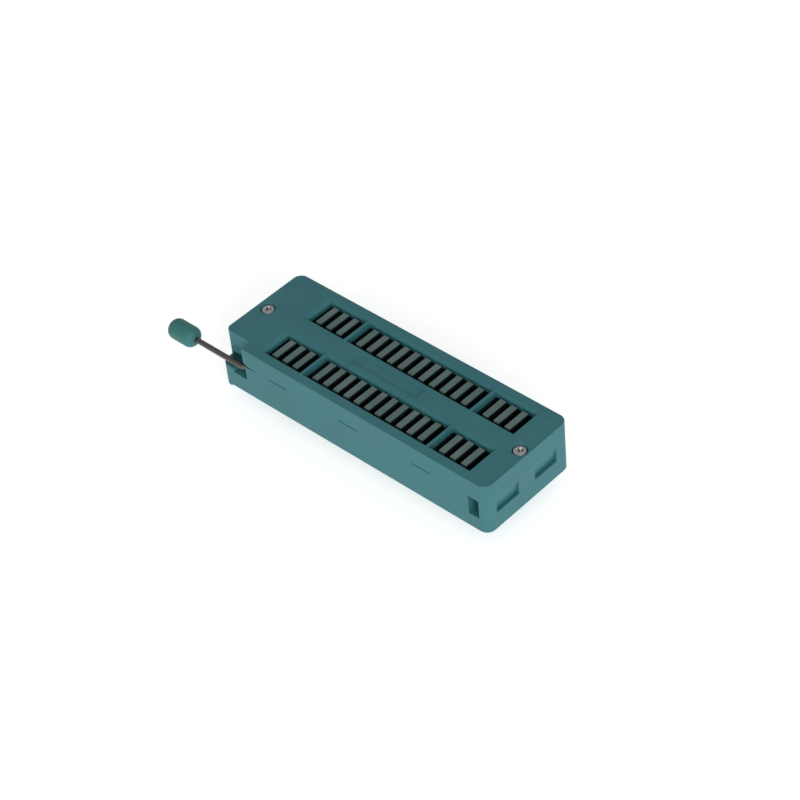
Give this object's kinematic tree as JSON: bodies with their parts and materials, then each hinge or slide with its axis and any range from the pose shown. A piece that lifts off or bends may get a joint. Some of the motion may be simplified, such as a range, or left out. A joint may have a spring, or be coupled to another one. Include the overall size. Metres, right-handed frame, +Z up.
{
  "type": "zif socket",
  "caption": "Zero-insertion-force socket for dual-in-line packages: a long, low two-part body with two slotted windows over spring contacts, a sliding comb and a cranked wire lever with a knob.",
  "frame": {"origin": "centre of the body's outline, on the board face that the feet stand on", "axes": "+X along the body's length, away from the lever; +Y across the body, away from the lever's side; +Z up, away from the board"},
  "size_m": [0.0791, 0.0233, 0.0147],
  "materials": {
    "housing": "fine satin moulding texture, teal",
    "comb": "satin moulding, greyer green",
    "lever_wire": "dark oxidised steel wire, semi-gloss",
    "knob": "satin moulding, teal",
    "screw": "bright plated steel",
    "contact": "plated copper alloy spring sheet"
  },
  "bodies": {
    "socket": {"base": "housing", "cover": "housing", "screw_left": "screw", "screw_right": "screw", "contact_front_01": "contact", "contact_front_02": "contact", "contact_front_03": "contact", "contact_front_04": "contact", "contact_front_05": "contact", "contact_front_06": "contact", "contact_front_07": "contact", "contact_front_08": "contact", "contact_front_09": "contact", "contact_front_10": "contact", "contact_front_11": "contact", "contact_front_12": "contact", "contact_front_13": "contact", "contact_front_14": "contact", "contact_front_15": "contact", "contact_front_16": "contact", "contact_front_17": "contact", "contact_front_18": "contact", "contact_front_19": "contact", "contact_front_20": "contact", "contact_rear_01": "contact", "contact_rear_02": "contact", "contact_rear_03": "contact", "contact_rear_04": "contact", "contact_rear_05": "contact", "contact_rear_06": "contact", "contact_rear_07": "contact", "contact_rear_08": "contact", "contact_rear_09": "contact", "contact_rear_10": "contact", "contact_rear_11": "contact", "contact_rear_12": "contact", "contact_rear_13": "contact", "contact_rear_14": "contact", "contact_rear_15": "contact", "contact_rear_16": "contact", "contact_rear_17": "contact", "contact_rear_18": "contact", "contact_rear_19": "contact", "contact_rear_20": "contact"},
    "lever": {"lever_crank": "lever_wire", "lever_knob": "knob"},
    "comb": {"slider": "comb"}
  },
  "joints": [
    {"name": "lever_turn", "type": "hinge", "parent": "socket", "child": "lever", "pos_m": [-0.027, 0, 0.0058], "axis": [0, 1, 0], "range_deg": [0, 90]},
    {"name": "comb_slide", "type": "slide", "parent": "socket", "child": "comb", "axis": [1, 0, 0], "range_m": [0, 0.00071]}
  ],
  "couplings": [
    {"joint": "comb_slide", "follows": "lever_turn", "m_per_rad": 0.00045}
  ]
}
